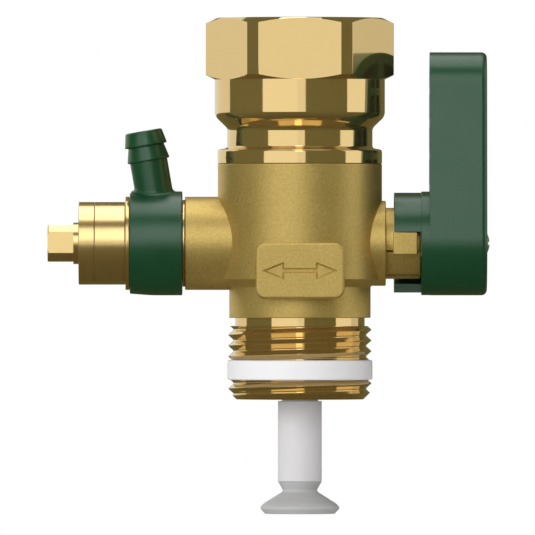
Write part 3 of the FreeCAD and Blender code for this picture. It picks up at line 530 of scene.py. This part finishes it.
def tongueShape(hub, tip, low, high):  # round hub and round tip joined by their tangents, between two x places
    rise = lever["reach"] - lever["tip"]
    lean = math.asin((hub - tip) / rise)
    steps = 64
    corners = []
    for step in range(steps + 1):
        angle = math.pi - lean + (math.pi + 2 * lean) * step / steps
        corners.append((hub * math.cos(angle), hub * math.sin(angle)))
    for step in range(steps + 1):
        angle = lean + (math.pi - 2 * lean) * step / steps
        corners.append((tip * math.cos(angle), rise + tip * math.sin(angle)))
    bm = startShape(corners)
    bmesh.ops.contextual_create(bm, geom=bm.edges[:])
    extruded = bmesh.ops.extrude_face_region(bm, geom=bm.faces[:])
    fresh = [v for v in extruded["geom"] if isinstance(v, bmesh.types.BMVert)]
    bmesh.ops.translate(bm, verts=fresh, vec=(0, (high - low) * mm, 0))
    tidyShape(bm)
    return moved(bm, Matrix.Rotation(math.radians(-90), 4, "Z"), (low, 0, stemHeight))


def makeLever():
    v = lever
    bm = tongueShape(v["hub"], v["tip"], v["start"], v["face"])
    soften(bm, [e for e in bm.edges if all(abs(p.co.x - v["face"] * mm) < 0.001 * mm for p in e.verts)],
           v["edge"], 8)
    soften(bm, [e for e in bm.edges if all(abs(p.co.x - v["start"] * mm) < 0.001 * mm for p in e.verts)], 0.08, 2)
    disc = ontoStem(turned([(0, v["discStart"]), (v["hub"] - 0.03, v["discStart"], 0.06),
                            (v["hub"] - 0.03, v["start"] + 0.6), (0, v["start"] + 0.6)], 128))
    inner = v["skirt"] - v["skirtWall"]
    skirt = ontoStem(turned([(inner, v["skirtStart"], 0.1), (v["skirt"], v["skirtStart"], 0.1),
                             (v["skirt"], v["discStart"] + 0.2), (inner, v["discStart"] + 0.2)], 128))
    front = boxShape((v["skirtStart"] - 1, -v["hub"] - 1, stemHeight - v["hub"] - 1),
                     (v["discStart"], 0, stemHeight + v["stop"]))
    below = boxShape((v["skirtStart"] - 1, -1, stemHeight - v["hub"] - 1), (v["discStart"], v["stop"], stemHeight))
    skirt = combined(skirt, combined(front, below, "UNION"), "DIFFERENCE")
    bm = combined(combined(bm, disc, "UNION"), skirt, "UNION")
    half = v["rib"] / 2
    floor = v["hub"] + v["rib"]
    step = (v["reach"] - v["wall"] + v["rib"] - floor) / v["rows"]
    for row in range(v["rows"]):
        low = stemHeight + floor + row * step
        for near, far in ((-v["hub"], -half), (half, v["hub"])):
            cell = boxShape((v["start"] - 1, near, low), (v["face"] - v["faceWall"], far, low + step - v["rib"]))
            hollow = tongueShape(v["hub"] - v["wall"], v["tip"] - v["wall"], v["start"] - 2, v["face"])
            cell = tidyShape(combined(cell, hollow, "INTERSECT"))
            upright = [e for e in sharpEdges(cell, 30) if abs(e.verts[0].co.x - e.verts[1].co.x) > 5 * mm]
            soften(cell, upright, v["pocketCorner"], 5)
            deep = [e for e in cell.edges if all(p.co.x > (v["face"] - v["faceWall"] - 0.01) * mm for p in e.verts)]
            soften(cell, deep, 0.3, 2)
            bm = combined(bm, cell, "DIFFERENCE")
    side = v["square"]
    socket = boxShape((v["discStart"] - 1, -side, stemHeight - side), (v["socketEnd"], side, stemHeight + side))
    hole = ontoStem(turned([(0, v["discStart"]), (v["screwHole"], v["discStart"]), (v["screwHole"], v["headSeat"]),
                            (v["headRoom"], v["headSeat"]), (v["headRoom"], v["face"] - 0.2),
                            (v["headRoom"] + 0.6, v["face"] + 0.4), (0, v["face"] + 0.4)], 96))
    bm = combined(combined(bm, socket, "DIFFERENCE"), hole, "DIFFERENCE")
    finished("moulded_lever", tidyShape(bm), "green_plastic", "lever_and_ball", ["lever"], smoothTo=34)


# The swivelling outlet: a crowned collar with a hose barb that grows out of it in a small fillet

outlet = {"start": 21.70, "end": 31.40, "radius": 9.6, "endRadius": 9.3, "crownLength": 4.0, "crownFillet": 30.0,
          "edge": 0.2, "bore": 6.65, "channel": 7.9, "channelHalf": 2.1, "grooveInset": 1.3, "groove": 7.6,
          "grooveHalf": 0.55}
barb = {"tilt": 9.8, "foot": 25.30, "radius": 3.47, "bore": 2.3, "length": 21.03, "tip": 3.37, "tipEdge": 0.35,
        "neck": 3.33, "crest": 3.90, "land": 0.22, "back": 0.12, "pitch": 2.80, "first": 2.70, "fillet": 0.7,
        "filletSteps": 6, "level": 9.0, "rootHeight": 7.2}


def ontoSpout(bm):  # from about Z onto the leaning spout
    return moved(bm, Matrix.Rotation(math.radians(-barb["tilt"]), 4, "Y"), (-barb["foot"], 0, stemHeight))


def makeOutlet():
    o, b = outlet, barb
    bm = ontoDrain(turned([(0, o["start"]), (o["radius"], o["start"], o["edge"]),
                           (o["radius"], o["end"] - o["crownLength"], o["crownFillet"]),
                           (o["endRadius"], o["end"], o["edge"]), (0, o["end"])], segments=6))
    first = b["length"] - b["first"]
    second = first - b["pitch"]
    flare = []
    for step in range(b["filletSteps"] + 1):
        angle = math.pi / 2 * step / b["filletSteps"]
        flare.append((b["radius"] + b["fillet"] * (1 - math.sin(angle)),
                      b["level"] + b["fillet"] * (1 - math.cos(angle))))
    profile = [(0, b["rootHeight"]), (flare[0][0], b["rootHeight"])] + flare + [
        (b["radius"], second - b["back"]), (b["crest"], second, 0.03), (b["crest"], second + b["land"], 0.05),
        (b["neck"], first - b["back"]), (b["crest"], first, 0.03), (b["crest"], first + b["land"], 0.05),
        (b["tip"], b["length"], b["tipEdge"]), (0, b["length"])]
    spout = turned(profile, 128, 3)
    lean = math.radians(b["tilt"])
    for vert in spout.verts:  # the fillet's rings follow the collar's round
        x, y, h = vert.co / mm
        if flare[0][1] - 0.001 < h < flare[-1][1] + 0.001 and math.hypot(x, y) > 0.1:
            surface = (math.sqrt(o["radius"] ** 2 - y * y) - x * math.sin(lean)) / math.cos(lean)
            vert.co.z += (surface - b["level"] - 0.01) * mm
    bm = combined(bm, ontoSpout(spout), "UNION")
    middle = (o["start"] + o["end"]) / 2
    tools = [turned([(0, o["start"] - 1), (o["bore"], o["start"] - 1), (o["bore"], o["end"] + 1),
                     (0, o["end"] + 1)], 96)]
    tools.append(turned([(0, middle - o["channelHalf"]), (o["channel"], middle - o["channelHalf"]),
                         (o["channel"], middle + o["channelHalf"]), (0, middle + o["channelHalf"])], 96))
    for place in (o["start"] + o["grooveInset"], o["end"] - o["grooveInset"]):
        tools.append(turned([(0, place - o["grooveHalf"]), (o["groove"], place - o["grooveHalf"]),
                             (o["groove"], place + o["grooveHalf"]), (0, place + o["grooveHalf"])], 96))
    for tool in tools:
        bm = combined(bm, ontoDrain(tool), "DIFFERENCE")
    bm = combined(bm, ontoSpout(turned([(0, 5.6), (b["bore"], 5.6), (b["bore"], b["length"] - 0.25),
                                        (b["bore"] + 0.5, b["length"] + 0.25), (0, b["length"] + 0.25)], 96)),
                  "DIFFERENCE")
    finished("moulded_outlet", tidyShape(bm), "green_plastic", "outlet", ["drain_outlet"], smoothTo=34)


# The drain's turned brass: washers, bonnet head, gland nut and spindle with its square

def makeDrain():
    def ring(name, outer, low, high, replaced):
        finished(name, ontoDrain(turned([(6.65, low), (outer, low, 0.08), (outer, high, 0.08), (6.65, high)])),
                 "polished_brass", "valve", [replaced], material=turnedBrass)
    ring("spacer_ring", 8.03, 21.22, 21.65, "bonnet_spacer_washer")
    ring("retaining_washer", 8.6, 31.45, 32.19, "outlet_washer")
    bm = ontoDrain(turned([(3.88, 36.1), (5.60, 36.1), (5.60, 37.97), (7.63, 37.97, 0.04), (7.63, 40.83, 0.12),
                           (3.88, 40.83, 0.15)]))
    finished("turned_gland", bm, "polished_brass", "valve", ["drain_gland_nut"], material=turnedBrass)
    for name in ("drain_bonnet", "drain_spindle"):
        nodes[name].data.materials[0] = turnedBrass


makeSpigot()
makeCasting()
makeConnector()
makeTube()
makeLever()
makeOutlet()
makeDrain()
print("valve pieces made")


# The studio: a white surround, softboxes and a glowing shell that shows only in the metal, a painted reflection of a
# dim warm room

studio = {
    "surround": 0.34,       # of the white surround on matt surfaces
    # the glowing shell's painted reflection colours, darker below than above
    "roomAbove": "#6a6843", "roomBelow": "#544b24",  # what the polish mirrors between the softboxes
    "roomRadius": 1.6,
    "floorDrop": 75.0, "floorWidth": 3.0, "floorColour": "#e6e6e6",
}

# azimuth from the camera's side towards +X and height above the horizon, in degrees; distance in metres
softboxes = {
    "frontLeft": {"azimuth": (-51.5, -3.5), "height": (-4, 42), "distance": 1.0, "radiance": 0.95},
    "frontEnd": {"azimuth": (-3.5, 7.6), "height": (-4, 42), "distance": 1.0, "radiance": 0.84},
    "right": {"azimuth": (67, 104), "height": (-4, 40), "distance": 1.0, "radiance": 0.9},
    "rightEnd": {"azimuth": (104, 127), "height": (-4, 40), "distance": 1.0, "radiance": 0.6},
    "upperFront": {"azimuth": (-7, 4), "height": (9, 46), "distance": 0.95, "radiance": 1.5},
    "backLeft": {"azimuth": (-172, -110), "height": (-4, 40), "distance": 1.0, "radiance": 0.73},
}
overhead = {"front": 0.43, "back": 0.72, "height": 1.0, "halfWidth": 0.45, "radiance": 0.95,
            "stripPlace": -0.035, "stripHalfWidth": 0.07, "stripDrop": 0.02, "stripRadiance": 1.8}
fill = {"azimuth": -38, "height": 14, "distance": 1.3, "width": 0.9, "radiance": 3.3}


def addLamp(name, centre, target, width, height, radiance):
    lamp = bpy.data.lights.new(name, "AREA")
    lamp.shape = "RECTANGLE"
    lamp.size = width
    lamp.size_y = height
    lamp.energy = radiance * math.pi * width * height
    holder = bpy.data.objects.new(name, lamp)
    holder.location = centre
    holder.rotation_euler = (Vector(target) - Vector(centre)).to_track_quat("-Z", "Y").to_euler()
    holder.visible_camera = False
    bpy.context.scene.collection.objects.link(holder)
    return holder


def direction(azimuth, height=0.0):
    a, e = math.radians(azimuth), math.radians(height)
    return Vector((math.sin(a) * math.cos(e), -math.cos(a) * math.cos(e), math.sin(e)))


def makeStudio():
    middle = Vector((0, 0, stemHeight * mm))
    for name, box in softboxes.items():
        start, end = box["azimuth"]
        half = math.radians(end - start) / 2
        low, high = [math.tan(math.radians(h)) * box["distance"] for h in box["height"]]
        centre = middle + direction((start + end) / 2) * box["distance"] + Vector((0, 0, (low + high) / 2))
        level = Vector((middle.x, middle.y, centre.z))
        addLamp(name, centre, level, 2 * box["distance"] * math.tan(half), high - low, box["radiance"])
    top = overhead
    centre = middle + Vector((0, (top["back"] - top["front"]) / 2, top["height"]))
    addLamp("overhead", centre, centre - Vector((0, 0, 1)), 2 * top["halfWidth"],
            top["front"] + top["back"], top["radiance"])
    centre += Vector((top["stripPlace"], 0, -top["stripDrop"]))
    addLamp("overhead strip", centre, centre - Vector((0, 0, 1)), 2 * top["stripHalfWidth"],
            top["front"] + top["back"], top["stripRadiance"])
    soft = addLamp("fill", middle + direction(fill["azimuth"], fill["height"]) * fill["distance"], middle,
                   fill["width"], fill["width"], fill["radiance"])
    soft.visible_glossy = False  # shapes the matt surfaces, and leaves the mirrors as the softboxes set them

    world = bpy.data.worlds.new("white surround")
    world.use_nodes = True
    bpy.context.scene.world = world
    shine = world.node_tree.nodes["Background"]
    shine.inputs["Color"].default_value = (1, 1, 1, 1)
    path = addNode(world, "ShaderNodeLightPath")
    seen = addNode(world, "ShaderNodeMath", links={0: path.outputs["Is Camera Ray"],
                                                   1: path.outputs["Is Glossy Ray"]},
                   fields={"operation": "MAXIMUM"})
    shown = addNode(world, "ShaderNodeMath", links={0: seen.outputs[0],
                                                    1: path.outputs["Is Transmission Ray"]},
                    fields={"operation": "MAXIMUM"})
    level = addNode(world, "ShaderNodeMapRange", {"To Min": studio["surround"], "To Max": 1.0},
                    {"Value": shown.outputs[0]})
    world.node_tree.links.new(level.outputs["Result"], shine.inputs["Strength"])

    bm = bmesh.new()
    bmesh.ops.create_uvsphere(bm, u_segments=48, v_segments=24, radius=studio["roomRadius"])
    bmesh.ops.translate(bm, verts=bm.verts, vec=middle)
    bmesh.ops.reverse_faces(bm, faces=bm.faces)
    room = stageMesh("dim room", bm)
    paint = bpy.data.materials.new("glowing walls for painted reflections")
    paint.use_nodes = True
    paint.node_tree.nodes.remove(paint.node_tree.nodes["Principled BSDF"])
    # the shell glows in fixed colours, a painted reflection that is darker towards the bottom
    place = addNode(paint, "ShaderNodeSeparateXYZ", links={"Vector": objectPlace(paint)}).outputs["Z"]
    rise = addNode(paint, "ShaderNodeMapRange", {"From Min": -1.3, "From Max": 0.0}, {"Value": place})
    glow = addNode(paint, "ShaderNodeEmission", {"Strength": 1.0},
                   {"Color": blend(paint, rise.outputs["Result"], studio["roomBelow"], studio["roomAbove"])})
    paint.node_tree.links.new(glow.outputs[0], paint.node_tree.nodes["Material Output"].inputs["Surface"])
    room.data.materials.append(paint)
    room.visible_camera = False
    room.visible_diffuse = False
    room.visible_transmission = False
    room.visible_shadow = False

    bm = bmesh.new()
    bmesh.ops.create_grid(bm, x_segments=1, y_segments=1, size=studio["floorWidth"] / 2)
    bmesh.ops.translate(bm, verts=bm.verts, vec=(0, 0, -studio["floorDrop"] * mm))
    floor = stageMesh("floor", bm)
    paint, shader = newMaterial("pale matt floor", {"Base Color": hexColour(studio["floorColour"]),
                                                    "Roughness": 0.9})
    floor.data.materials.append(paint)
    floor.visible_glossy = False


def stageMesh(name, bm):
    mesh = bpy.data.meshes.new(name)
    bm.to_mesh(mesh)
    bm.free()
    thing = bpy.data.objects.new(name, mesh)
    bpy.context.scene.collection.objects.link(thing)
    return thing


makeStudio()
print("studio lit with", len(softboxes) + 2, "lamps")


# The camera: level, from the front, far off with a long lens

shot = {"centre": (-5.98, 24.34), "width": 98.78, "distance": 3.0, "sensor": 36.0}
lens = bpy.data.cameras.new("camera")
lens.sensor_width = shot["sensor"]
lens.lens = shot["sensor"] * shot["distance"] / (shot["width"] * mm)
lens.clip_end = 20
camera = bpy.data.objects.new("camera", lens)
camera.location = (shot["centre"][0] * mm, -shot["distance"], shot["centre"][1] * mm)
camera.rotation_euler = (math.radians(90), 0, 0)
bpy.context.scene.collection.objects.link(camera)
bpy.context.scene.camera = camera
bpy.context.scene.view_settings.view_transform = "Standard"
